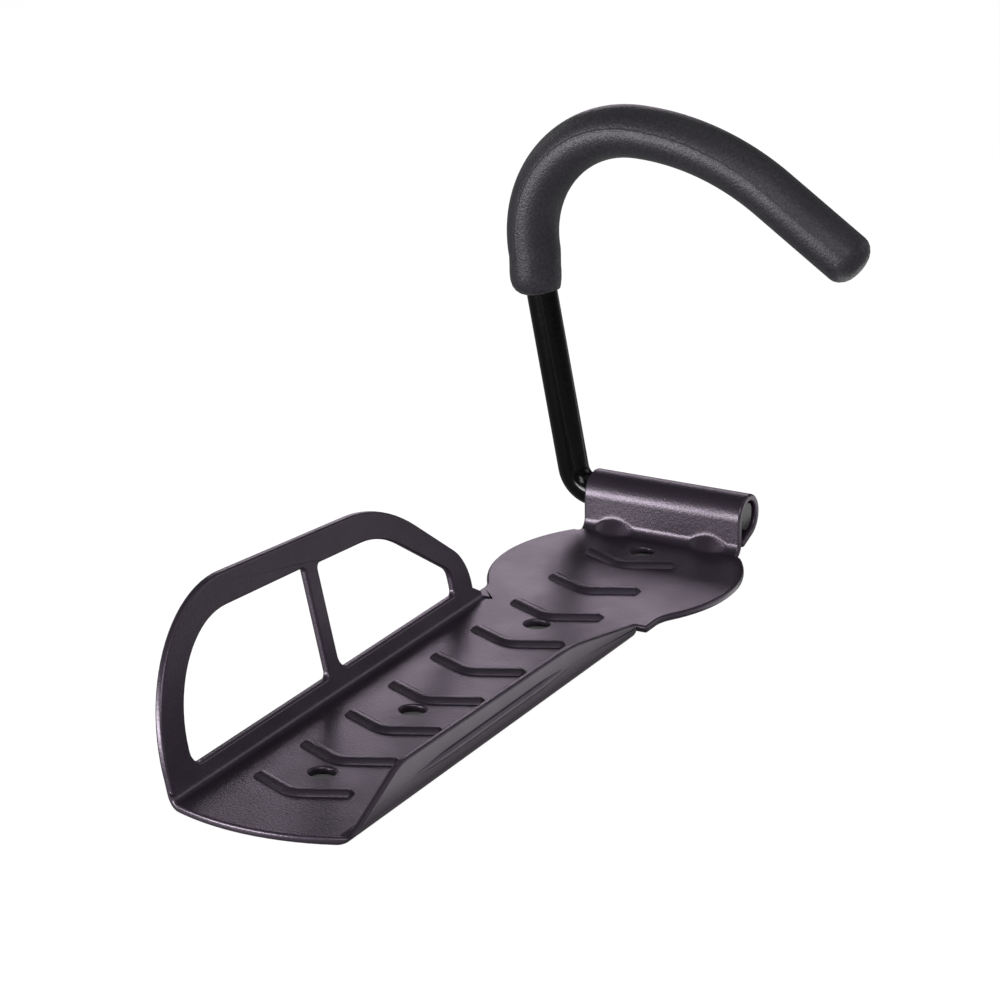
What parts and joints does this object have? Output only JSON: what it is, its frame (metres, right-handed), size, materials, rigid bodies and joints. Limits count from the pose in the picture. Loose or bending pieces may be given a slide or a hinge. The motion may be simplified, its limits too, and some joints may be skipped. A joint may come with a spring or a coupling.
{
  "type": "bicycle storage hook",
  "caption": "Wall hook that holds a bicycle by its wheel: folded steel plate with a ribbed tyre channel, a tall side rest with windows and a foam-covered bent rod.",
  "frame": {"origin": "on the flat back of the plate, on the line of the screw holes, between the second and third hole", "axes": "+Z away from the wall, +Y along the plate towards the knuckle that carries the rod (up when the hook is on a wall), +X across the plate, away from the tall wing"},
  "size_m": [0.1194, 0.257, 0.1353],
  "materials": {
    "plate_finish": "satin black powder coat",
    "rod_finish": "gloss black",
    "sleeve_foam": "matte closed-cell foam"
  },
  "bodies": {
    "root": {"back_plate": "plate_finish", "hook_rod": "rod_finish", "hook_sleeve": "sleeve_foam"}
  },
  "joints": []
}
